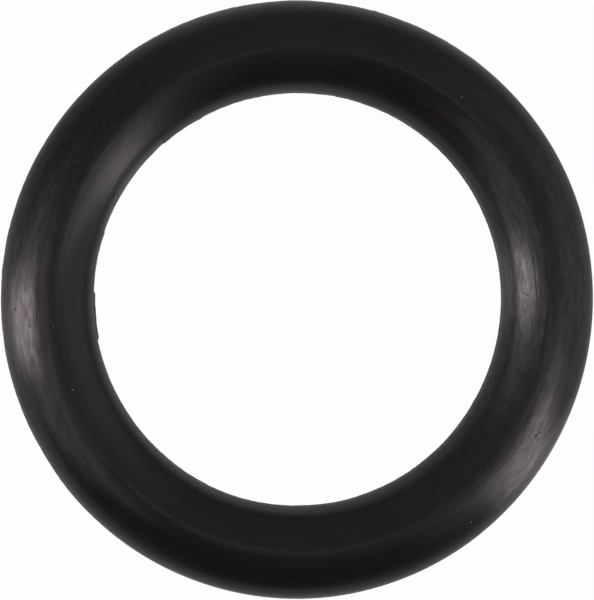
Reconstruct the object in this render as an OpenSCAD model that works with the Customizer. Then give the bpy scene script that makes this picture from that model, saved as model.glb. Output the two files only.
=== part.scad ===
// Rubber o-ring: one moulded ring of round section, lying flat.
// The ring is pressed in a two-part mould that opens at mid height, so a thin flash forms
// around the inside and the outside. Trimming leaves a low rib there, cut off square.
// Frame: millimetres, origin at the middle of the ring, +Z along the ring's axis.

/* [Ring] */
// Inside diameter of the round section, unstretched
inside_d = 18; // [8:0.1:120]
// Diameter of the round section
section_d = 4; // [2:0.05:7]

/* [Parting line] */
// How far the trimmed rib inside the ring stands proud of the round section
inner_rib_h = 0.03; // [0.01:0.005:0.1]
// How far the trimmed rib outside the ring stands proud of the round section
outer_rib_h = 0.03; // [0.01:0.005:0.1]
// Width of the cut face on top of a rib, along the ring's axis
rib_land_w = 0.12; // [0.06:0.01:0.16]
// Width of a rib's base, just under the round surface
rib_base_w = 0.24; // [0.18:0.01:0.4]

/* [Hidden] */

// Facets of each full circle in the preview
circle_facets = 180;
// Radius of the round section
section_r = section_d / 2;
// Radius of the circle that the middle of the section follows
centreline_r = inside_d / 2 + section_r;
// Depth of a rib's base under the round surface
rib_base_depth = 0.03;
// Distance from the middle of the section to a rib's base
rib_base_x = sqrt(pow(section_r - rib_base_depth, 2) - pow(rib_base_w / 2, 2));

// Flash strip at the parting line: it runs through the section and ends in a rib on each side
module flash_strip() {
    inner_tip_x = section_r + inner_rib_h;
    outer_tip_x = section_r + outer_rib_h;
    base_y = rib_base_w / 2;
    land_y = rib_land_w / 2;
    polygon([
        [-inner_tip_x, -land_y],
        [-rib_base_x, -base_y],
        [rib_base_x, -base_y],
        [outer_tip_x, -land_y],
        [outer_tip_x, land_y],
        [rib_base_x, base_y],
        [-rib_base_x, base_y],
        [-inner_tip_x, land_y]
    ]);
}

// Section of the ring: a circle, with the flash strip's trimmed ends standing proud of it
module ring_section() {
    circle(r = section_r, $fn = circle_facets);
    flash_strip();
}

// The ring: its section swept once around the axis
module o_ring() {
    color("#222223")
        rotate_extrude($fn = circle_facets)
            translate([centreline_r, 0]) ring_section();
}

o_ring();
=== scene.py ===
"""Looks of a moulded rubber o-ring: its mesh, its rubber, and the light, floor and camera round it.

The ring lies flat with its axis along +Z. Lengths are in metres unless a name ends in _mm.
Angles around the ring run anticlockwise from +X, seen from above. Angles over the section run
from the outer side, 0, over the crown, 90, to the inner side, 180.
"""

import logging
import math
from collections.abc import Iterable, Iterator, Sequence
from dataclasses import dataclass
from enum import Enum
from itertools import chain
from typing import Any

import bpy
import numpy as np
from mathutils import Matrix, Vector


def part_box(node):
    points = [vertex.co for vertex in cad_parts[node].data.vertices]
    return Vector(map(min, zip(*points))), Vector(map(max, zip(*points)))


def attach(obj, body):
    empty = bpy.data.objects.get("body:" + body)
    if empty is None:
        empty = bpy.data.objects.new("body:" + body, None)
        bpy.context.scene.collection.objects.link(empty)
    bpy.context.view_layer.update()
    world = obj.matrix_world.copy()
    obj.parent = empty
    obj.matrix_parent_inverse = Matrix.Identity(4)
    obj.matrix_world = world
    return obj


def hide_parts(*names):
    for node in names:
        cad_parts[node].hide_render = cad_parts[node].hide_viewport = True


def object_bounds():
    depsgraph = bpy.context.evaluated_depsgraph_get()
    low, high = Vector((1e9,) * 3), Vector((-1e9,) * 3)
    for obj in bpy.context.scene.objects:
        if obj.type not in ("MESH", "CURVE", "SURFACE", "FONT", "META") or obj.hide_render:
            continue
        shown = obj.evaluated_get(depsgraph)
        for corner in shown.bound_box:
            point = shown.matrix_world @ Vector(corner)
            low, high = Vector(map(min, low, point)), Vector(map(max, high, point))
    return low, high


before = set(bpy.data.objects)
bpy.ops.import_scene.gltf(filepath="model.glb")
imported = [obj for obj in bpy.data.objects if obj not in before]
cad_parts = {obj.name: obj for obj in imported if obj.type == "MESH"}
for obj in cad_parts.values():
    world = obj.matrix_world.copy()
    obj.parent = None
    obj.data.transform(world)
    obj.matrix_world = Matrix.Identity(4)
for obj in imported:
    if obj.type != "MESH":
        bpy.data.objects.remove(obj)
CAD_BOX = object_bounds()

MM = 0.001
WHITE = "#FFFFFF"
# Settings of the arithmetic nodes that are used most
TIMES = {"operation": "MULTIPLY"}
UNIT = {"operation": "NORMALIZE"}
ALONG = {"operation": "DOT_PRODUCT"}
log = logging.getLogger("o_ring")


class Side(Enum):
    """The two sides of the section that carry a parting-line rib, as angles over the section."""

    OUTER = 0.0
    INNER = 180.0


def linear(hex_colour: str) -> tuple[float, float, float, float]:
    """Turns an sRGB colour into the linear values that Blender takes.

    Args:
        hex_colour: The colour as six hex digits after a hash.

    Returns:
        Red, green, blue and an alpha of 1, linear.
    """
    channels = [int(hex_colour[i : i + 2], 16) / 255 for i in (1, 3, 5)]
    curve = [c / 12.92 if c <= 0.04045 else ((c + 0.055) / 1.055) ** 2.4 for c in channels]
    return (curve[0], curve[1], curve[2], 1.0)


def add_node(
    tree: bpy.types.NodeTree,
    kind: str,
    settings: dict[str, Any] | None = None,
    inputs: dict[str | int, Any] | None = None,
) -> bpy.types.Node:
    """Adds a node with its settings, and fills or links its inputs.

    Args:
        tree: The node tree that gets the node.
        kind: The node's type, such as ShaderNodeMath.
        settings: Properties of the node itself.
        inputs: Values or output sockets, by the input's name or number.

    Returns:
        The new node.
    """
    node = tree.nodes.new(kind)
    for name, value in (settings or {}).items():
        setattr(node, name, value)
    for key, value in (inputs or {}).items():
        if isinstance(value, bpy.types.NodeSocket):
            tree.links.new(value, node.inputs[key])
        else:
            node.inputs[key].default_value = value
    return node


def direction(azimuth_deg: float, elevation_deg: float) -> Vector:
    """Gives the unit vector that points a certain way.

    Args:
        azimuth_deg: Angle from +X, anticlockwise as seen from above.
        elevation_deg: Angle above the horizon.

    Returns:
        The unit vector.
    """
    azimuth, elevation = math.radians(azimuth_deg), math.radians(elevation_deg)
    flat = math.cos(elevation)
    return Vector((flat * math.cos(azimuth), flat * math.sin(azimuth), math.sin(elevation)))


def facing(axis: Vector, up: Vector) -> Matrix:
    """Makes the rotation of an object whose -Z looks along an axis.

    Args:
        axis: The way the object looks.
        up: The way its +Y points, as nearly as the axis lets it.

    Returns:
        The rotation, as a matrix of four rows.
    """
    back = -axis.normalized()
    right = up.cross(back).normalized()
    return Matrix((right, back.cross(right), back)).transposed().to_4x4()


def turn_between(angle_deg: np.ndarray, centre_deg: float) -> np.ndarray:
    """Gives how far each angle lies from a centre, the short way round, in degrees."""
    return (angle_deg - centre_deg + 180) % 360 - 180


@dataclass(frozen=True)
class Fade:
    """A smooth change from one level to another, while a pattern's value goes from start to end."""

    start: float
    end: float
    low: float = 0.0
    high: float = 1.0

    def of(self, tree: bpy.types.NodeTree, value: bpy.types.NodeSocket) -> bpy.types.NodeSocket:
        """Puts a pattern through the change.

        Args:
            tree: The node tree that the pattern is in.
            value: The pattern.

        Returns:
            The pattern at its new levels.
        """
        levels = {"From Min": self.start, "From Max": self.end, "To Min": self.low, "To Max": self.high}
        smooth = {"interpolation_type": "SMOOTHSTEP", "clamp": False}
        return add_node(tree, "ShaderNodeMapRange", smooth, {"Value": value, **levels}).outputs["Result"]


@dataclass(frozen=True)
class Swell:
    """A slow change of the outline: a smooth hump or hollow around one angle."""

    around_deg: float
    spread_deg: float
    rise_mm: float

    def at(self, around: np.ndarray) -> np.ndarray:
        """Gives the rise in millimetres at each angle around the ring."""
        spreads = turn_between(around, self.around_deg) / self.spread_deg
        return self.rise_mm * np.exp(-(spreads**2) / 2)


@dataclass(frozen=True)
class TrimStretch:
    """A stretch where the trimming knife left the flash higher or cut it lower than elsewhere."""

    start_deg: float
    end_deg: float
    rise_mm: float
    ramp_deg: float = 0.8

    def at(self, around: np.ndarray) -> np.ndarray:
        """Gives the rise at each angle around the ring.

        Args:
            around: Angles around the ring, in degrees.

        Returns:
            The rise in millimetres, with a smooth ramp at each end of the stretch.
        """
        middle = (self.start_deg + self.end_deg) / 2
        half = (self.end_deg - self.start_deg) / 2
        inside = half - np.abs(turn_between(around, middle))
        share = np.clip(inside / self.ramp_deg + 0.5, 0, 1)
        return self.rise_mm * share * share * (3 - 2 * share)


@dataclass(frozen=True)
class Nib:
    """A speck of torn flash, or a nick, at the parting line."""

    side: Side
    around_deg: float
    length_mm: float
    rise_mm: float


@dataclass(frozen=True)
class PartingLine:
    """What pressing and trimming leave where the two halves of the mould meet.

    The uneven edge is waves of random height. Their lengths are in columns of the mesh, and
    rib_jitter says how many times higher they are on the ribs.
    """

    rib_height_mm: float = 0.03
    land_width_mm: float = 0.12
    base_width_mm: float = 0.24
    band_width_mm: float = 0.8
    mean_rise_mm: float = 0.012
    jitter_mm: float = 0.009
    band_waves: tuple[int, ...] = (2, 6, 20)
    rib_waves: tuple[int, ...] = (3, 9, 28)
    rib_jitter: float = 1.6
    seed: int = 18
    outer_swells: tuple[Swell, ...] = (
        Swell(25, 14, 0.030),
        Swell(75, 14, -0.036),
        Swell(105, 8, -0.016),
        Swell(140, 9, 0.010),
        Swell(185, 6, -0.012),
        Swell(210, 8, -0.026),
        Swell(262, 22, 0.032),
        Swell(302, 8, 0.011),
        Swell(332, 9, -0.010),
    )
    inner_swells: tuple[Swell, ...] = (
        Swell(38, 14, 0.024),
        Swell(168, 4, 0.022),
        Swell(215, 14, -0.011),
        Swell(250, 8, 0.013),
        Swell(320, 22, -0.026),
    )
    fin: TrimStretch = TrimStretch(178, 191, 0.062)
    shave: TrimStretch = TrimStretch(131, 161, -0.052)
    shave_over_deg: float = 168.0
    shave_spread_deg: float = 16.0
    nibs: tuple[Nib, ...] = (
        Nib(Side.OUTER, 19, 0.25, 0.012),
        Nib(Side.OUTER, 75, 0.2, 0.022),
        Nib(Side.OUTER, 103, 0.25, 0.02),
        Nib(Side.OUTER, 174, 0.25, 0.018),
        Nib(Side.OUTER, 272, 0.3, 0.022),
        Nib(Side.OUTER, 323, 0.3, -0.015),
        Nib(Side.INNER, 15, 0.25, 0.02),
        Nib(Side.INNER, 64, 0.2, -0.022),
        Nib(Side.INNER, 80, 0.2, -0.018),
        Nib(Side.INNER, 119, 0.4, 0.024),
        Nib(Side.INNER, 303, 0.2, -0.024),
        Nib(Side.INNER, 321, 0.2, -0.024),
        Nib(Side.INNER, 343, 0.3, -0.016),
    )


@dataclass(frozen=True)
class SectionShape:
    """The ring's round section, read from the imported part."""

    centreline_r: float
    section_r: float

    @classmethod
    def of_node(cls, node: str, rib_height_mm: float) -> "SectionShape":
        """Works the section out from a node's box, which ends at the outer rib.

        Args:
            node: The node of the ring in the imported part.
            rib_height_mm: How far the outer rib stands proud of the round section.

        Returns:
            The section.
        """
        low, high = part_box(node)
        section_r = (high.z - low.z) / 2
        outer_r = (high.x - low.x) / 2 - rib_height_mm * MM
        return cls(outer_r - section_r, section_r)

    def turn_deg(self, length_mm: float) -> float:
        """Gives the angle over the section that a length on its surface takes up."""
        return length_mm * math.degrees(MM / self.section_r)

    def normal(self, around_deg: float, over_deg: float) -> Vector:
        """Gives the outward direction of the surface at a place on the ring."""
        over = math.radians(over_deg)
        return direction(around_deg, 0) * math.cos(over) + Vector((0, 0, math.sin(over)))

    def point(self, around_deg: float, over_deg: float) -> Vector:
        """Gives a place on the round surface."""
        centre = direction(around_deg, 0) * self.centreline_r
        return centre + self.normal(around_deg, over_deg) * self.section_r


@dataclass(frozen=True)
class Mark:
    """A small oval dent or bump in the rubber, such as a pit or a scratch, or a flat speck on it.

    rise_mm is negative for a dent, and turn_deg turns its long side away from the way round the ring.
    """

    around_deg: float
    over_deg: float
    length_mm: float
    width_mm: float
    rise_mm: float = 0.0
    turn_deg: float = 0.0


@dataclass(frozen=True)
class RingLine:
    """A fine line or band that runs some way round the ring, at one angle over the section.

    rise is its height in millimetres where it is a ridge, or its strength where it is a tint.
    """

    start_deg: float
    end_deg: float
    over_deg: float
    width_mm: float
    rise: float


@dataclass(frozen=True)
class WornPatch:
    """A stretch that handling has left a little rougher and duller, or smoother where negative."""

    around_deg: float
    half_deg: float
    roughness: float
    gloss_loss: float


@dataclass(frozen=True)
class Shoulder:
    """A soft step round the inner side, where the mould's core was turned to another radius."""

    over_deg: float = 141.0
    width_mm: float = 1.3
    rise_mm: float = 0.03
    roughness: float = 0.15


@dataclass(frozen=True)
class CrownFold:
    """A faint fold near the crown, where two cuts of the mould met.

    It runs on a circle that is a little smaller than the centreline and a little off centre.
    """

    inset_mm: float = 0.13
    drift_mm: float = 0.25
    drift_deg: float = 170.0
    half_width_mm: float = 0.4
    slope: float = 0.045


@dataclass(frozen=True)
class Grain:
    """A noise pattern by the real size of its patches, along the ring and over its section.

    detail is how many finer layers it has, and fineness is each layer's share of the one before.
    """

    length_mm: float
    width_mm: float
    detail: float = 2.0
    fineness: float = 0.55


@dataclass(frozen=True)
class NitrileRubber:
    """Black nitrile rubber, filled with carbon and pressed in a polished steel mould."""

    name: str = "black nitrile rubber, compression moulded"

    # Carbon black makes it near black, cool in some patches and a little warmer in others. Oil and wax that
    # come to the surface leave a brownish bloom; where the brown lies under the left highlight it is also a
    # painted warm tint of that highlight. The olive is a painted tint of the right end's highlight, laid
    # where it falls. The dust colour also paints a pale highlight line.
    body: str = "#131417"
    body_warm: str = "#181616"
    bloom_and_highlight_tint: str = "#2B211E"
    olive_highlight_tint: str = "#2D2C26"
    dust: str = "#8E8E8C"

    # The polished mould leaves it satin. The mould's turning marks run round the ring, so that a
    # highlight is drawn out along the ring, with its edges feathered by a light sheen.
    ior: float = 1.52
    specular: float = 0.5
    roughness: float = 0.20
    roughness_swing: float = 0.03
    dust_roughness: float = 0.4
    anisotropy: float = 0.5
    anisotropy_turn: float = 0.25
    sheen: float = 0.2
    sheen_roughness: float = 0.3

    # Turning marks, with their height. The real ones are a tenth as wide, too fine to show here, so
    # they are drawn in bundles.
    streak: Grain = Grain(3.2, 0.2, detail=3.0)
    streak_rise_mm: float = 0.012

    # Uneven gloss inside the highlights, where the rubber flowed in the mould
    mottle: Grain = Grain(0.65, 0.16)
    mottle_rise_mm: float = 0.004
    mottle_roughness: float = 0.03
    mottle_gloss: float = 0.15
    mottle_reach: Fade = Fade(-1.2, -0.4)

    # Slow changes of roughness and of tone
    cloud: Grain = Grain(6.0, 0.8, detail=3.0)
    tone: Grain = Grain(3.0, 1.2)

    # Torn rubber along the trimmed parting line looks rough and grey. Its lighter grey is also a painted
    # highlight along the ring's outer and inner rims. Its real grain is about 0.03 mm, too fine to show, so
    # it is drawn as coarse as it needs to be to show.
    band: str = "#545455"
    speckle: Grain = Grain(0.12, 0.22)
    band_core_mm: float = 0.16
    band_reach_mm: float = 0.64
    band_rise_mm: float = 0.022
    band_roughness: float = 0.12

    # How the noise patterns are cut into shares of a tint: the noise's low and high, and the shares there
    warm_share: Fade = Fade(0.35, 0.65)
    bloom_and_tint_share: Fade = Fade(0.35, 0.65, 0.1, 1.0)
    faint_bloom_share: Fade = Fade(0.55, 0.8, 0.0, 0.35)
    olive_tint_share: Fade = Fade(0.35, 0.65, 0.5, 1.0)
    band_share: Fade = Fade(0.38, 0.62, 0.35, 1.1)

    # What counts as low and as high in the noise that changes roughness and gloss
    noise_low: float = 0.3
    noise_high: float = 0.7


# A pattern, and how strongly it is added to others
Layer = tuple[bpy.types.NodeSocket, float]


@dataclass(frozen=True)
class Patterns:
    """The sockets of the patterns that more than one part of the rubber's material uses."""

    streaks: bpy.types.NodeSocket
    mottle: bpy.types.NodeSocket
    cloud: bpy.types.NodeSocket
    speckle: bpy.types.NodeSocket
    band: bpy.types.NodeSocket
    shoulder: bpy.types.NodeSocket


@dataclass
class RubberRing:
    """The one piece: the ring's mesh, with its trimmed parting line, and its rubber.

    first_row is where the even rows of faces begin, in half widths of a rib's base.
    """

    shape: SectionShape
    parting: PartingLine = PartingLine()
    rubber: NitrileRubber = NitrileRubber()
    columns: int = 1320
    rows_each_half: int = 25
    first_row: float = 1.6
    map_margin: float = 0.004
    fold: CrownFold = CrownFold()
    shoulder: Shoulder = Shoulder()
    pits: tuple[Mark, ...] = (
        Mark(329.7, 67.5, 0.16, 0.11, -0.03),
        Mark(329.2, 61.9, 0.10, 0.08, -0.02),
        Mark(330.7, 64.5, 0.09, 0.08, -0.02),
        Mark(332.1, 51.2, 0.13, 0.10, -0.025),
        Mark(329.4, 84.0, 0.12, 0.09, -0.02),
        Mark(332.4, 69.5, 0.08, 0.07, -0.015),
        Mark(181.8, 39.2, 0.14, 0.09, -0.02),
        Mark(185.3, 58.7, 0.16, 0.13, 0.008),
        Mark(133.9, 73.0, 0.13, 0.10, -0.03),
    )
    scratches: tuple[Mark, ...] = (
        Mark(185.6, 88.5, 0.55, 0.10, -0.018, 12),
        Mark(153.9, 82.0, 0.42, 0.11, -0.010, 16),
        Mark(157.4, 83.0, 0.30, 0.09, -0.008, 20),
        Mark(164.4, 83.0, 0.50, 0.09, -0.008, -6),
        Mark(10.3, 132.9, 0.75, 0.09, 0.006, 18),
        Mark(1.4, 128.0, 0.70, 0.08, -0.004, 62),
        Mark(356.5, 130.0, 0.70, 0.09, 0.005, 10),
    )
    ridges: tuple[RingLine, ...] = (
        RingLine(315, 326, 54.0, 0.12, 0.010),
        RingLine(178, 191, 166.0, 0.10, 0.012),
    )
    dust: tuple[Mark, ...] = (
        Mark(307.2, 55.3, 0.09, 0.08),
        Mark(313.7, 40.3, 0.10, 0.09),
        Mark(200.8, 94.8, 0.09, 0.07),
        Mark(52.0, 85.8, 0.07, 0.07),
        Mark(4.3, 43.6, 0.08, 0.06),
    )
    # A pale, rougher line, painted where a bright reflected line runs along the lower edge of the
    # upper-left highlight: a painted highlight
    painted_highlight_lines: tuple[RingLine, ...] = (RingLine(137, 153, 130.5, 0.10, 0.35),)
    worn_patches: tuple[WornPatch, ...] = (
        WornPatch(143, 30, 0.07, 0.12),
        WornPatch(4, 16, -0.01, -0.08),
    )
    bloom_and_highlight_tint_streaks: tuple[RingLine, ...] = (
        RingLine(196, 240, 73.5, 0.34, 0.9),
        RingLine(146, 178, 77.0, 1.0, 0.5),
        RingLine(40, 62, 118.0, 0.5, 0.5),
        RingLine(176, 200, 82.0, 0.5, 0.5),
        # Under the left highlight: a painted warm tint of its light, as well as bloom
        RingLine(170, 198, 56.0, 1.7, 1.7),
    )
    # Olive tint where the right end's highlight falls: a painted tint of that highlight
    olive_highlight_tint_streaks: tuple[RingLine, ...] = (
        RingLine(310, 356, 78.0, 2.6, 0.6),
        RingLine(320, 350, 66.0, 3.0, 0.7),
    )

    def over_angles(self) -> np.ndarray:
        """Gives the angles of the rows over the section, close together at the two ribs.

        Returns:
            Angles in degrees, rising from 0 to just under 360.
        """
        land = self.shape.turn_deg(self.parting.land_width_mm / 2)
        base = self.shape.turn_deg(self.parting.base_width_mm / 2)
        edge = self.first_row * base
        near = np.array([0.5 * land, land, (land + base) / 2, base, edge])
        even = np.linspace(edge, 180 - edge, self.rows_each_half + 2)[1:-1]
        half = np.concatenate([[0.0], near, even, 180 - near[::-1]])
        return np.concatenate([half, half + 180])

    def jitter(self, waves: Sequence[int], rng: np.random.Generator) -> np.ndarray:
        """Draws an uneven edge: smooth noise at several lengths, added up.

        Args:
            waves: Lengths of the waves, in columns.
            rng: The seeded source of random numbers.

        Returns:
            One value for each column, about 1 at most.
        """
        total = np.zeros(self.columns)
        for wave in waves:
            knots = self.columns // wave
            values = rng.uniform(-1, 1, knots)
            places = np.arange(self.columns) * knots / self.columns
            total += np.interp(places, np.arange(knots + 1), np.append(values, values[0])) / len(waves)
        return total

    def rib_rise(self, side: Side, around: np.ndarray, rng: np.random.Generator) -> np.ndarray:
        """Gives how high the trimmed rib stands at each column.

        Args:
            side: The outer or the inner rib.
            around: Angles of the columns, in degrees.
            rng: The seeded source of random numbers.

        Returns:
            The height in millimetres above the round section.
        """
        parting = self.parting
        rise = np.full(self.columns, parting.rib_height_mm / 2)
        rise += parting.jitter_mm * parting.rib_jitter * self.jitter(parting.rib_waves, rng)
        if side is Side.INNER:
            rise += parting.fin.at(around)
        for nib in parting.nibs:
            if nib.side is side:
                half_deg = math.degrees(nib.length_mm * MM / 2 / self.shape.centreline_r)
                halves = turn_between(around, nib.around_deg) / half_deg
                rise += nib.rise_mm * np.exp(-(halves**2))
        return rise

    def side_rise(
        self, side: Side, around: np.ndarray, over: np.ndarray, rng: np.random.Generator
    ) -> np.ndarray:
        """Gives how far the surface stands off the round section on one side of the ring.

        Args:
            side: The outer or the inner side.
            around: Angles of the columns, in degrees.
            over: Angles of the rows, in degrees.
            rng: The seeded source of random numbers.

        Returns:
            The rise in millimetres, by columns and rows.
        """
        parting, shape = self.parting, self.shape
        swells = parting.outer_swells if side is Side.OUTER else parting.inner_swells
        outward = 1 if side is Side.OUTER else -1
        slow = sum(swell.at(around) for swell in swells) * outward
        away = np.abs(turn_between(over, side.value))
        flank = np.where(away < 90, np.cos(np.radians(away)) ** 2, 0)
        fine = parting.jitter_mm * self.jitter(parting.band_waves, rng)
        edge = np.clip(1 - away / shape.turn_deg(parting.band_width_mm / 2), 0, 1)
        rise = (parting.mean_rise_mm + slow)[:, None] * flank + fine[:, None] * edge
        if side is Side.INNER:
            spreads = turn_between(over, parting.shave_over_deg) / parting.shave_spread_deg
            rise += parting.shave.at(around)[:, None] * np.exp(-(spreads**2))
        land = shape.turn_deg(parting.land_width_mm / 2)
        base = shape.turn_deg(parting.base_width_mm / 2)
        tooth = np.clip((base - away) / (base - land), 0, 1)
        return rise + self.rib_rise(side, around, rng)[:, None] * tooth

    def surface(self) -> np.ndarray:
        """Works out the mesh's points.

        Returns:
            An array of columns by rows by three coordinates, in metres.
        """
        shape = self.shape
        rng = np.random.default_rng(self.parting.seed)
        around = np.arange(self.columns) * 360 / self.columns
        over = self.over_angles()
        rise = sum(self.side_rise(side, around, over, rng) for side in Side)
        radius = shape.section_r + rise * MM
        angle = np.radians(over)
        farthest = shape.centreline_r + shape.section_r + self.parting.rib_height_mm * MM
        out = np.minimum(shape.centreline_r + radius * np.cos(angle), farthest)
        turn = np.radians(around)[:, None]
        return np.stack([out * np.cos(turn), out * np.sin(turn), radius * np.sin(angle)], axis=-1)

    def build(self) -> bpy.types.Object:
        """Makes the ring's mesh object.

        Returns:
            The object, linked to the scene and dressed in its rubber.
        """
        points = self.surface()
        columns, rows = points.shape[:2]
        column, row = np.meshgrid(np.arange(columns), np.arange(rows), indexing="ij")
        following, above = (column + 1) % columns, (row + 1) % rows
        corners = [(column, row), (following, row), (following, above), (column, above)]
        faces = np.stack([c * rows + r for c, r in corners], axis=-1).reshape(-1, 4)
        mesh = bpy.data.meshes.new("rubber_o_ring")
        mesh.from_pydata(points.reshape(-1, 3).tolist(), [], faces.tolist())
        mesh.shade_smooth()
        self.lay_map(mesh, column, row)
        mesh.validate()
        ring = bpy.data.objects.new("rubber_o_ring", mesh)
        bpy.context.scene.collection.objects.link(ring)
        mesh.materials.append(self.dress())
        return ring

    def lay_map(self, mesh: bpy.types.Mesh, column: np.ndarray, row: np.ndarray) -> None:
        """Unrolls the ring on a map as two half rings, one above the other.

        Args:
            mesh: The ring's mesh, with its faces in column order.
            column: Each face's column around the ring.
            row: Each face's row over the section.
        """
        margin = self.map_margin
        over = np.append(self.over_angles(), 360.0) / 360
        half, place = np.divmod(column, self.columns // 2)
        corner_u = np.stack([place, place + 1, place + 1, place], axis=-1) / (self.columns // 2)
        corner_v = np.stack([over[row], over[row], over[row + 1], over[row + 1]], axis=-1)
        u = margin + (1 - 2 * margin) * corner_u
        v = (half[..., None] + margin * 2 + (1 - 4 * margin) * corner_v) / 2
        layer = mesh.uv_layers.new(name="OFBake")
        layer.uv.foreach_set("vector", np.stack([u, v], axis=-1).astype(np.float32).ravel())

    def dress(self) -> bpy.types.Material:
        """Makes the rubber's material.

        Returns:
            The material, with its streaks, bloom, rough band, pits and dust. Some of its colour is painted
            light: tints under two highlights, a lighter grey along the rims and a pale line in the
            upper-left highlight.
        """
        rubber = self.rubber
        material = bpy.data.materials.new(rubber.name)
        material.use_nodes = True
        tree = material.node_tree
        tree.nodes.clear()
        place = RingPlace(tree, self.shape)
        patterns = Patterns(
            streaks=place.noise(rubber.streak),
            mottle=place.noise(rubber.mottle),
            cloud=place.noise(rubber.cloud),
            speckle=place.noise(rubber.speckle),
            band=place.near_sides(rubber.band_core_mm, rubber.band_reach_mm),
            shoulder=place.flank(self.shoulder.over_deg, self.shoulder.width_mm),
        )
        height = place.layered(place.fold(self.fold), self.relief(place, patterns))
        bump = add_node(tree, "ShaderNodeBump", inputs={"Height": height, "Distance": MM, "Strength": 1.0})
        dust_and_highlight_share = place.layered(0.0, self.dust_and_painted_highlight(place))
        rough, gloss = self.polish(place, patterns, dust_and_highlight_share)
        colour: Any = linear(rubber.body)
        for tint, share in self.stains(place, patterns, dust_and_highlight_share):
            mixed = {0: share, 6: colour, 7: linear(tint)}
            colour = add_node(tree, "ShaderNodeMix", {"data_type": "RGBA"}, mixed).outputs[2]
        round_ring = add_node(tree, "ShaderNodeTangent", {"direction_type": "RADIAL", "axis": "Z"})
        shader = add_node(
            tree,
            "ShaderNodeBsdfPrincipled",
            inputs={
                "Base Color": colour,
                "Roughness": rough,
                "Specular IOR Level": gloss,
                "IOR": rubber.ior,
                "Sheen Weight": rubber.sheen,
                "Sheen Roughness": rubber.sheen_roughness,
                "Anisotropic": rubber.anisotropy,
                "Anisotropic Rotation": rubber.anisotropy_turn,
                "Tangent": round_ring.outputs[0],
                "Normal": bump.outputs["Normal"],
            },
        )
        add_node(tree, "ShaderNodeOutputMaterial", inputs={"Surface": shader.outputs["BSDF"]})
        return material

    def relief(self, place: "RingPlace", patterns: Patterns) -> Iterator[Layer]:
        """Makes what stands out of the rubber or is sunk into it.

        Args:
            place: Where on the ring a point lies.
            patterns: The shared patterns.

        Yields:
            Patterns with their heights in millimetres.
        """
        rubber = self.rubber
        yield patterns.shoulder, self.shoulder.rise_mm
        yield patterns.streaks, rubber.streak_rise_mm
        yield patterns.mottle, rubber.mottle_rise_mm
        torn = add_node(place.tree, "ShaderNodeMath", TIMES, {0: patterns.speckle, 1: patterns.band})
        yield torn.outputs[0], rubber.band_rise_mm
        for mark in self.pits + self.scratches:
            yield place.spot(mark), mark.rise_mm
        for line in self.ridges:
            yield place.line(line), line.rise

    def dust_and_painted_highlight(self, place: "RingPlace") -> Iterator[Layer]:
        """Makes the specks of dust and the pale, rougher line painted in the upper-left highlight, each
        with its strength.
        """
        specks = ((place.spot(mark), 1.0) for mark in self.dust)
        return chain(specks, ((place.line(line), line.rise) for line in self.painted_highlight_lines))

    def polish(
        self, place: "RingPlace", patterns: Patterns, dust_and_highlight_share: bpy.types.NodeSocket
    ) -> tuple[bpy.types.NodeSocket, bpy.types.NodeSocket]:
        """Works out how rough and how glossy the rubber is at each point.

        Args:
            place: Where on the ring a point lies.
            patterns: The shared patterns.
            dust_and_highlight_share: The share of dust and of the painted highlight line.

        Returns:
            The roughness and the specular level.
        """
        rubber, tree = self.rubber, place.tree
        low, high = rubber.roughness - rubber.roughness_swing, rubber.roughness + rubber.roughness_swing
        clouded = Fade(rubber.noise_low, rubber.noise_high, low, high).of(tree, patterns.cloud)
        rough = place.layered(clouded, [(patterns.band, rubber.band_roughness)])
        uneven = Fade(rubber.noise_low, rubber.noise_high, -1.0, 1.0).of(tree, patterns.mottle)
        where = place.uneven(rubber.mottle_reach)
        patchy = add_node(tree, "ShaderNodeMath", TIMES, {0: uneven, 1: where}).outputs[0]
        rough = place.layered(rough, [(patchy, -rubber.mottle_roughness), (dust_and_highlight_share, rubber.dust_roughness)])
        gloss = place.layered(rubber.specular, [(patchy, rubber.mottle_gloss)])
        for patch in self.worn_patches:
            worn = place.stretch(patch.around_deg, patch.half_deg)
            rough = place.layered(rough, [(worn, patch.roughness)])
            gloss = place.layered(gloss, [(worn, -patch.gloss_loss)])
        return place.layered(rough, [(patterns.shoulder, self.shoulder.roughness)]), gloss

    def stains(
        self, place: "RingPlace", patterns: Patterns, dust_and_highlight_share: bpy.types.NodeSocket
    ) -> Iterator[tuple[str, bpy.types.NodeSocket]]:
        """Makes the tints that lie over the body colour, one on top of the other. Some are painted light:
        warm and olive tints under two highlights, the rims' lighter grey and a pale highlight line.

        Args:
            place: Where on the ring a point lies.
            patterns: The shared patterns.
            dust_and_highlight_share: The share of dust and of the painted highlight line.

        Yields:
            Each tint's colour with its share.
        """
        rubber, tree = self.rubber, place.tree
        # Brown bloom; the widest streak, under the left highlight, is a painted warm tint of its light
        bloom_and_tint = place.layered(0.0, ((place.line(line), line.rise) for line in self.bloom_and_highlight_tint_streaks))
        broken = rubber.bloom_and_tint_share.of(tree, patterns.streaks)
        bloom_and_tint = add_node(tree, "ShaderNodeMath", TIMES, {0: bloom_and_tint, 1: broken}).outputs[0]
        faint = rubber.faint_bloom_share.of(tree, patterns.cloud)
        tone = place.noise(rubber.tone)
        yield rubber.body_warm, rubber.warm_share.of(tree, tone)
        yield rubber.bloom_and_highlight_tint, place.layered(bloom_and_tint, [(faint, 1.0)])
        # Olive, laid where the right end's highlight falls: a painted tint of that highlight
        olive_tinted = place.layered(0.0, ((place.line(line), line.rise) for line in self.olive_highlight_tint_streaks))
        broken = rubber.olive_tint_share.of(tree, tone)
        yield rubber.olive_highlight_tint, add_node(tree, "ShaderNodeMath", TIMES, {0: olive_tinted, 1: broken}).outputs[0]
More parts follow.
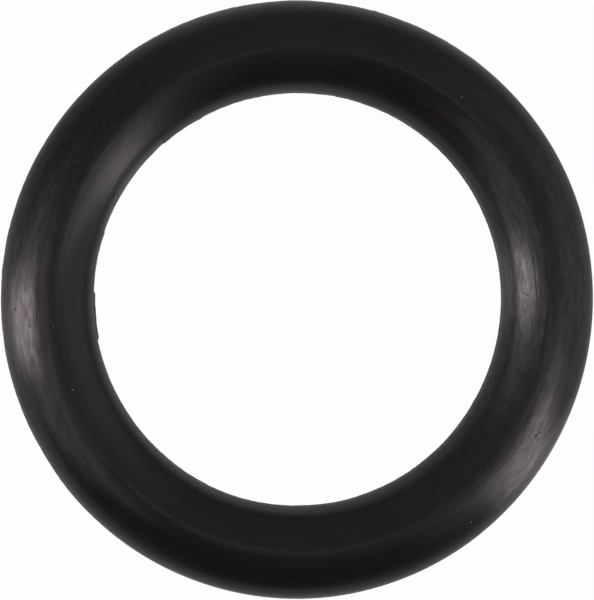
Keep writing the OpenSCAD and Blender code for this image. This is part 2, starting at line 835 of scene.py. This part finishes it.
        # Lighter grey of the rough parting band, which also paints a highlight along the rims
        broken = rubber.band_share.of(tree, patterns.speckle)
        yield rubber.band, add_node(tree, "ShaderNodeMath", TIMES, {0: patterns.band, 1: broken}).outputs[0]
        # Dust specks, and the pale line painted in the upper-left highlight
        yield rubber.dust, dust_and_highlight_share


class RingPlace:
    """Node sockets that say where on the ring a shaded point lies, and patterns made from them."""

    # A mark is full up to a fifth of the way to its rim, and a line or a patch along part of its length
    MARK_SHAPE = Fade(0.2, 1.0, 1.0, 0.0)
    LINE_CORE = 0.7
    PATCH_CORE = 0.3

    def __init__(self, tree: bpy.types.NodeTree, shape: SectionShape) -> None:
        """Adds the nodes that turn object coordinates into places on the ring.

        Args:
            tree: The material's node tree.
            shape: The ring's section.
        """
        self.tree = tree
        self.shape = shape
        self.position = add_node(tree, "ShaderNodeTexCoord").outputs["Object"]
        split = add_node(tree, "ShaderNodeSeparateXYZ", inputs={0: self.position})
        x, y, self.z = split.outputs
        flat = add_node(tree, "ShaderNodeCombineXYZ", inputs={0: x, 1: y}).outputs[0]
        self.around = add_node(tree, "ShaderNodeVectorMath", UNIT, {0: flat}).outputs[0]
        reach = add_node(tree, "ShaderNodeVectorMath", {"operation": "LENGTH"}, {0: flat}).outputs["Value"]
        out = add_node(tree, "ShaderNodeMath", {"operation": "SUBTRACT"}, {0: reach, 1: shape.centreline_r})
        section = add_node(tree, "ShaderNodeCombineXYZ", inputs={0: out.outputs[0], 1: self.z})
        self.over = add_node(tree, "ShaderNodeVectorMath", UNIT, {0: section.outputs[0]}).outputs[0]

    def layered(self, base: Any, layers: Iterable[Layer]) -> bpy.types.NodeSocket:
        """Adds patterns to a base, each as strong as it says.

        Args:
            base: A value or a socket.
            layers: Patterns with their strengths. Each is added before the next one is made.

        Returns:
            The sum.
        """
        for pattern, strength in layers:
            terms = {0: pattern, 1: strength, 2: base}
            base = add_node(self.tree, "ShaderNodeMath", {"operation": "MULTIPLY_ADD"}, terms).outputs[0]
        return base

    def noise(self, grain: Grain) -> bpy.types.NodeSocket:
        """Adds noise that runs seamlessly round the ring and over its section.

        Args:
            grain: The size of its patches.

        Returns:
            The noise, between 0 and 1.
        """
        along = self.shape.centreline_r / (grain.length_mm * MM)
        across = self.shape.section_r / (grain.width_mm * MM)
        scale = {"operation": "SCALE"}
        stretched = add_node(self.tree, "ShaderNodeVectorMath", scale, {0: self.around, "Scale": along})
        wound = add_node(self.tree, "ShaderNodeVectorMath", scale, {0: self.over, "Scale": across})
        ring = add_node(self.tree, "ShaderNodeSeparateXYZ", inputs={0: stretched.outputs[0]}).outputs
        section = add_node(self.tree, "ShaderNodeSeparateXYZ", inputs={0: wound.outputs[0]}).outputs
        spot = add_node(self.tree, "ShaderNodeCombineXYZ", inputs={0: ring[0], 1: ring[1], 2: section[0]})
        node = add_node(
            self.tree,
            "ShaderNodeTexNoise",
            {"noise_dimensions": "4D"},
            {
                "Vector": spot.outputs[0],
                "W": section[1],
                "Scale": 1.0,
                "Detail": grain.detail,
                "Roughness": grain.fineness,
            },
        )
        return node.outputs[0]

    def uneven(self, reach: Fade) -> bpy.types.NodeSocket:
        """Gives the share of uneven gloss, from 0 to 1.

        Args:
            reach: Where it begins, on the sum of two shares: how far a point lies towards +X on the
                ring, and how far it lies towards the outer side of the section.

        Returns:
            1 at the ring's end towards +X and on the outer side of its end towards -X.
        """
        along = add_node(self.tree, "ShaderNodeSeparateXYZ", inputs={0: self.around}).outputs[0]
        out = add_node(self.tree, "ShaderNodeSeparateXYZ", inputs={0: self.over}).outputs[0]
        both = add_node(self.tree, "ShaderNodeMath", {"operation": "ADD"}, {0: along, 1: out})
        sided = reach.of(self.tree, both.outputs[0])
        ends = add_node(self.tree, "ShaderNodeMath", TIMES, {0: along, 1: along})
        return add_node(self.tree, "ShaderNodeMath", TIMES, {0: ends.outputs[0], 1: sided}).outputs[0]

    def near_sides(self, core_mm: float, reach_mm: float) -> bpy.types.NodeSocket:
        """Gives a band along the parting line, inside and outside.

        Args:
            core_mm: Height up to which it is full, above and below the line.
            reach_mm: Height at which it ends.

        Returns:
            1 at the line, falling to 0 at its reach.
        """
        away = add_node(self.tree, "ShaderNodeMath", {"operation": "ABSOLUTE"}, {0: self.z})
        return Fade(core_mm * MM, reach_mm * MM, 1.0, 0.0).of(self.tree, away.outputs[0])

    def spot(self, mark: Mark) -> bpy.types.NodeSocket:
        """Gives the shape of one small dent, bump or speck.

        Args:
            mark: Where it is and how large.

        Returns:
            1 at its middle, falling smoothly to 0 at its rim.
        """
        shape = self.shape
        normal = shape.normal(mark.around_deg, mark.over_deg)
        along = direction(mark.around_deg + 90, 0)
        axes = Matrix((along, normal.cross(along), normal)).transposed()
        axes = axes @ Matrix.Rotation(math.radians(mark.turn_deg), 3, "Z")
        local = add_node(
            self.tree,
            "ShaderNodeMapping",
            {"vector_type": "TEXTURE"},
            {
                "Vector": self.position,
                "Location": shape.point(mark.around_deg, mark.over_deg),
                "Rotation": axes.to_euler("XYZ"),
                "Scale": (mark.length_mm * MM / 2, mark.width_mm * MM / 2, mark.length_mm * MM / 2),
            },
        )
        away = add_node(self.tree, "ShaderNodeVectorMath", {"operation": "LENGTH"}, {0: local.outputs[0]})
        return self.MARK_SHAPE.of(self.tree, away.outputs["Value"])

    def fold(self, fold: CrownFold) -> bpy.types.NodeSocket:
        """Gives the height of the faint fold near the crown, in millimetres.

        Args:
            fold: Where it runs, how wide it is and how steep its sides are.

        Returns:
            A low ridge with a sharp crest.
        """
        drift = direction(fold.drift_deg, 0) * fold.drift_mm
        ahead = add_node(self.tree, "ShaderNodeVectorMath", ALONG, {0: self.around, 1: drift})
        out = add_node(self.tree, "ShaderNodeSeparateXYZ", inputs={0: self.over}).outputs[0]
        terms = {0: out, 1: self.shape.section_r / MM, 2: fold.inset_mm}
        offset = add_node(self.tree, "ShaderNodeMath", {"operation": "MULTIPLY_ADD"}, terms).outputs[0]
        terms = {0: offset, 1: ahead.outputs["Value"]}
        aside = add_node(self.tree, "ShaderNodeMath", {"operation": "SUBTRACT"}, terms).outputs[0]
        away = add_node(self.tree, "ShaderNodeMath", {"operation": "ABSOLUTE"}, {0: aside}).outputs[0]
        ridge = add_node(
            self.tree,
            "ShaderNodeMapRange",
            {"interpolation_type": "LINEAR"},
            {
                "Value": away,
                "From Min": 0.0,
                "From Max": fold.half_width_mm,
                "To Min": fold.half_width_mm * fold.slope,
                "To Max": 0.0,
            },
        )
        top = add_node(self.tree, "ShaderNodeMath", {"operation": "GREATER_THAN"}, {0: self.z, 1: 0.0})
        both = {0: ridge.outputs["Result"], 1: top.outputs[0]}
        return add_node(self.tree, "ShaderNodeMath", TIMES, both).outputs[0]

    def stretch(
        self, around_deg: float, half_deg: float, core_share: float = PATCH_CORE
    ) -> bpy.types.NodeSocket:
        """Gives the share of a stretch of the ring.

        Args:
            around_deg: Angle of its middle.
            half_deg: Angle from its middle to its ends.
            core_share: How much of it is full.

        Returns:
            1 in its middle, falling to 0 at its ends.
        """
        ways = {0: self.around, 1: direction(around_deg, 0)}
        ahead = add_node(self.tree, "ShaderNodeVectorMath", ALONG, ways)
        half = math.radians(half_deg)
        return Fade(math.cos(half), math.cos(half * core_share)).of(self.tree, ahead.outputs["Value"])

    def line(self, line: RingLine) -> bpy.types.NodeSocket:
        """Gives the shape of a fine line or band along the ring.

        Args:
            line: Where it runs and how wide it is.

        Returns:
            1 along its middle, falling to 0 at its edges and ends.
        """
        middle, half = (line.start_deg + line.end_deg) / 2, (line.end_deg - line.start_deg) / 2
        both = {0: self.stretch(middle, half, self.LINE_CORE), 1: self.flank(line.over_deg, line.width_mm)}
        return add_node(self.tree, "ShaderNodeMath", TIMES, both).outputs[0]

    def flank(self, over_deg: float, width_mm: float) -> bpy.types.NodeSocket:
        """Gives a band all round the ring.

        Args:
            over_deg: Angle over the section of the band's middle.
            width_mm: Width of the band over the section.

        Returns:
            1 along its middle, falling to 0 at its edges.
        """
        over = math.radians(over_deg)
        middle = (math.cos(over), math.sin(over), 0.0)
        distance = {"operation": "DISTANCE"}
        aside = add_node(self.tree, "ShaderNodeVectorMath", distance, {0: self.over, 1: middle})
        reach = width_mm * MM / 2 / self.shape.section_r
        return Fade(0.0, reach, 1.0, 0.0).of(self.tree, aside.outputs["Value"])


@dataclass(frozen=True)
class Softbox:
    """A soft lamp: a lit sheet of cloth whose brightness falls off towards its edges.

    taper is how much narrower its top is, and the two edges are the shares of it that fall off.
    """

    name: str
    azimuth_deg: float
    elevation_deg: float
    width: float
    height: float
    radiance: float
    colour: str
    distance: float = 0.6
    lean_deg: float = 0.0
    taper: float = 0.5
    side_edge: float = 1.0
    head_edge: float = 0.5

    def place(self) -> bpy.types.Object:
        """Makes the lamp, aimed at the ring.

        Returns:
            The lamp's object. It lights and is reflected, but the camera doesn't see it.
        """
        lamp = bpy.data.lights.new(self.name, "AREA")
        lamp.shape = "RECTANGLE"
        lamp.size, lamp.size_y = self.width, self.height
        lamp.energy = self.radiance * math.pi * self.width * self.height
        self.shade(lamp)
        away_from = direction(self.azimuth_deg, self.elevation_deg)
        box = bpy.data.objects.new(self.name, lamp)
        upright = Matrix.Rotation(math.radians(self.lean_deg), 3, away_from) @ Vector((0, 0, 1))
        box.matrix_world = Matrix.Translation(away_from * self.distance) @ facing(-away_from, upright)
        box.visible_camera = False
        bpy.context.scene.collection.objects.link(box)
        return box

    def shade(self, lamp: bpy.types.AreaLight) -> None:
        """Makes the sheet dimmer towards its sides and its head.

        Args:
            lamp: The lamp that gets the nodes.
        """
        lamp.use_nodes = True
        tree = lamp.node_tree
        tree.nodes.clear()
        place = add_node(tree, "ShaderNodeNewGeometry").outputs["Parametric"]
        across, upward, _ = add_node(tree, "ShaderNodeSeparateXYZ", inputs={0: place}).outputs
        aside = add_node(tree, "ShaderNodeMath", {"operation": "SUBTRACT"}, {0: across, 1: 0.5}).outputs[0]
        aside = add_node(tree, "ShaderNodeMath", {"operation": "ABSOLUTE"}, {0: aside}).outputs[0]
        terms = {0: upward, 1: -0.5 * self.taper, 2: 0.5}
        reach = add_node(tree, "ShaderNodeMath", {"operation": "MULTIPLY_ADD"}, terms).outputs[0]
        share = add_node(tree, "ShaderNodeMath", {"operation": "DIVIDE"}, {0: aside, 1: reach}).outputs[0]
        sides = Fade(1.0, 1.0 - self.side_edge).of(tree, share)
        head = Fade(1.0, 1.0 - self.head_edge).of(tree, upward)
        both = add_node(tree, "ShaderNodeMath", TIMES, {0: sides, 1: head}).outputs[0]
        glow = add_node(tree, "ShaderNodeEmission", inputs={"Color": linear(self.colour), "Strength": both})
        add_node(tree, "ShaderNodeOutputLight", inputs={"Surface": glow.outputs[0]})


@dataclass(frozen=True)
class FillLamp:
    """A wide ceiling lamp that only evens out the light: no surface mirrors it."""

    name: str = "ceiling fill"
    size: float = 2.4
    height: float = 1.6
    radiance: float = 0.55

    def place(self) -> bpy.types.Object:
        """Makes the lamp over the ring, facing down.

        Returns:
            The lamp's object. Neither the camera nor any gloss shows it.
        """
        lamp = bpy.data.lights.new(self.name, "AREA")
        lamp.size = self.size
        lamp.energy = self.radiance * math.pi * self.size**2
        sheet = bpy.data.objects.new(self.name, lamp)
        sheet.location = (0.0, 0.0, self.height)
        sheet.visible_camera = False
        sheet.visible_glossy = False
        bpy.context.scene.collection.objects.link(sheet)
        return sheet


@dataclass(frozen=True)
class SkyPatch:
    """A part of the room round the ring that is brighter or darker than the rest."""

    azimuth_deg: float
    elevation_deg: float
    core_deg: float
    edge_deg: float
    radiance: float


@dataclass(frozen=True)
class LacqueredBoard:
    """The floor's finish: pale board under clear lacquer, polished. The camera sees it as plain white."""

    name: str = "pale board, lacquered and polished"

    # Seen in the ring's rims it is a grey that mirrors the lamps softly, because light meets it
    # there at a low angle.
    colour: str = "#B4B4B4"
    roughness: float = 0.10
    ior: float = 1.5
    coat: float = 1.0
    camera_white: float = 0.98

    def make(self) -> bpy.types.Material:
        """Makes the board's material.

        Returns:
            The material: white to camera rays and transmitted rays, and grey to all others.
        """
        material = bpy.data.materials.new(self.name)
        material.use_nodes = True
        tree = material.node_tree
        tree.nodes.clear()
        board = add_node(
            tree,
            "ShaderNodeBsdfPrincipled",
            inputs={
                "Base Color": linear(self.colour),
                "Roughness": self.roughness,
                "IOR": self.ior,
                "Coat Weight": self.coat,
                "Coat Roughness": self.roughness,
                "Coat IOR": self.ior,
            },
        )
        white = add_node(tree, "ShaderNodeEmission", inputs={"Color": linear(WHITE), "Strength": 1.0})
        ray = add_node(tree, "ShaderNodeLightPath").outputs
        rays = {0: ray["Is Camera Ray"], 1: ray["Is Transmission Ray"]}
        seen = add_node(tree, "ShaderNodeMath", {"operation": "MAXIMUM"}, rays).outputs[0]
        share = add_node(tree, "ShaderNodeMath", TIMES, {0: seen, 1: self.camera_white}).outputs[0]
        shaders = {0: share, 1: board.outputs[0], 2: white.outputs[0]}
        mixed = add_node(tree, "ShaderNodeMixShader", inputs=shaders)
        add_node(tree, "ShaderNodeOutputMaterial", inputs={"Surface": mixed.outputs[0]})
        return material


@dataclass
class Studio:
    """The light and the floor: two softboxes, a dim room, and a white sweep."""

    floor_z: float
    softboxes: tuple[Softbox, ...] = (
        Softbox("left softbox", 185.5, 28, 0.38, 0.66, 3.85, "#FFEFEF", taper=0.3, head_edge=0.35),
        Softbox(
            "right softbox", 332, 38, 0.32, 1.08, 2.95, "#FFF3F1", lean_deg=-7, taper=0.4, head_edge=0.48
        ),
    )
    fill: FillLamp = FillLamp()
    patches: tuple[SkyPatch, ...] = (
        SkyPatch(262, 30, 25, 65, 0.05),
        SkyPatch(355, 28, 10, 48, 0.50),
        SkyPatch(186, 30, 10, 42, 0.85),
        SkyPatch(205, 55, 8, 28, 0.62),
        SkyPatch(183, 69, 4, 11, 0.66),
        SkyPatch(300, 84, 3, 9, 0.48),
    )
    room_radiance: float = 0.2
    room_colour: str = "#F8F6FF"
    board: LacqueredBoard = LacqueredBoard()
    floor_reach: float = 4.0

    def light_world(self) -> None:
        """Gives the world a soft uneven glow, and plain white where the camera looks past the floor."""
        world = bpy.data.worlds.new("studio room")
        bpy.context.scene.world = world
        world.use_nodes = True
        tree = world.node_tree
        tree.nodes.clear()
        way = add_node(tree, "ShaderNodeTexCoord").outputs["Generated"]
        level: Any = self.room_radiance
        for patch in self.patches:
            centre = direction(patch.azimuth_deg, patch.elevation_deg)
            ahead = add_node(tree, "ShaderNodeVectorMath", ALONG, {0: way, 1: centre}).outputs["Value"]
            inner, outer = math.cos(math.radians(patch.core_deg)), math.cos(math.radians(patch.edge_deg))
            levels = {0: Fade(outer, inner).of(tree, ahead), 2: level, 3: patch.radiance}
            level = add_node(tree, "ShaderNodeMix", {"data_type": "FLOAT"}, levels).outputs[0]
        room = {"Color": linear(self.room_colour), "Strength": level}
        glow = add_node(tree, "ShaderNodeBackground", inputs=room).outputs[0]
        sweep = {"Color": linear(WHITE), "Strength": 1.0}
        white = add_node(tree, "ShaderNodeBackground", inputs=sweep).outputs[0]
        camera = add_node(tree, "ShaderNodeLightPath").outputs["Is Camera Ray"]
        seen = add_node(tree, "ShaderNodeMixShader", inputs={0: camera, 1: glow, 2: white})
        add_node(tree, "ShaderNodeOutputWorld", inputs={"Surface": seen.outputs[0]})

    def lay_floor(self) -> bpy.types.Object:
        """Makes the floor under the ring.

        Returns:
            The floor.
        """
        corners = [(-1, -1), (1, -1), (1, 1), (-1, 1)]
        points = [(x * self.floor_reach, y * self.floor_reach, self.floor_z) for x, y in corners]
        mesh = bpy.data.meshes.new("floor")
        mesh.from_pydata(points, [], [(0, 1, 2, 3)])
        mesh.materials.append(self.board.make())
        floor = bpy.data.objects.new("floor", mesh)
        bpy.context.scene.collection.objects.link(floor)
        return floor


@dataclass(frozen=True)
class Viewpoint:
    """The camera: nearly overhead, a little to the left of the ring's axis, with a long lens."""

    distance: float = 0.286
    tilt_deg: float = 8.87
    azimuth_deg: float = 176.6
    look_at: tuple[float, float, float] = (-0.00007, -0.000026, 0.0)
    lens_mm: float = 394.3
    sensor_mm: float = 36.0
    nearest: float = 0.01
    farthest: float = 20.0

    def place(self) -> bpy.types.Object:
        """Makes the camera and gives it to the scene.

        Returns:
            The camera's object.
        """
        camera = bpy.data.cameras.new("camera")
        camera.sensor_width = self.sensor_mm
        camera.lens = self.lens_mm
        camera.clip_start, camera.clip_end = self.nearest, self.farthest
        place = direction(self.azimuth_deg, 90 - self.tilt_deg) * self.distance
        stand = bpy.data.objects.new("camera", camera)
        aim = Vector(self.look_at) - place
        stand.matrix_world = Matrix.Translation(place) @ facing(aim, Vector((0, 1, 0)))
        bpy.context.scene.collection.objects.link(stand)
        bpy.context.scene.camera = stand
        return stand


def main() -> None:
    """Builds the camera, the studio and the ring."""
    logging.basicConfig(level=logging.INFO, format="%(name)s: %(message)s")
    bpy.context.scene.view_settings.view_transform = "Standard"
    Viewpoint().place()
    log.info("camera placed")
    studio = Studio(floor_z=CAD_BOX[0].z)
    studio.light_world()
    studio.lay_floor()
    log.info("room and floor made")
    for lamp in (*studio.softboxes, studio.fill):
        lamp.place()
        log.info("%s placed", lamp.name)
    parting = PartingLine()
    shape = SectionShape.of_node("o_ring", parting.rib_height_mm)
    ring = RubberRing(shape, parting).build()
    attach(ring, "root")
    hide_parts("o_ring")
    log.info("ring: %d faces", len(ring.data.polygons))


if __name__ == "__main__":
    main()
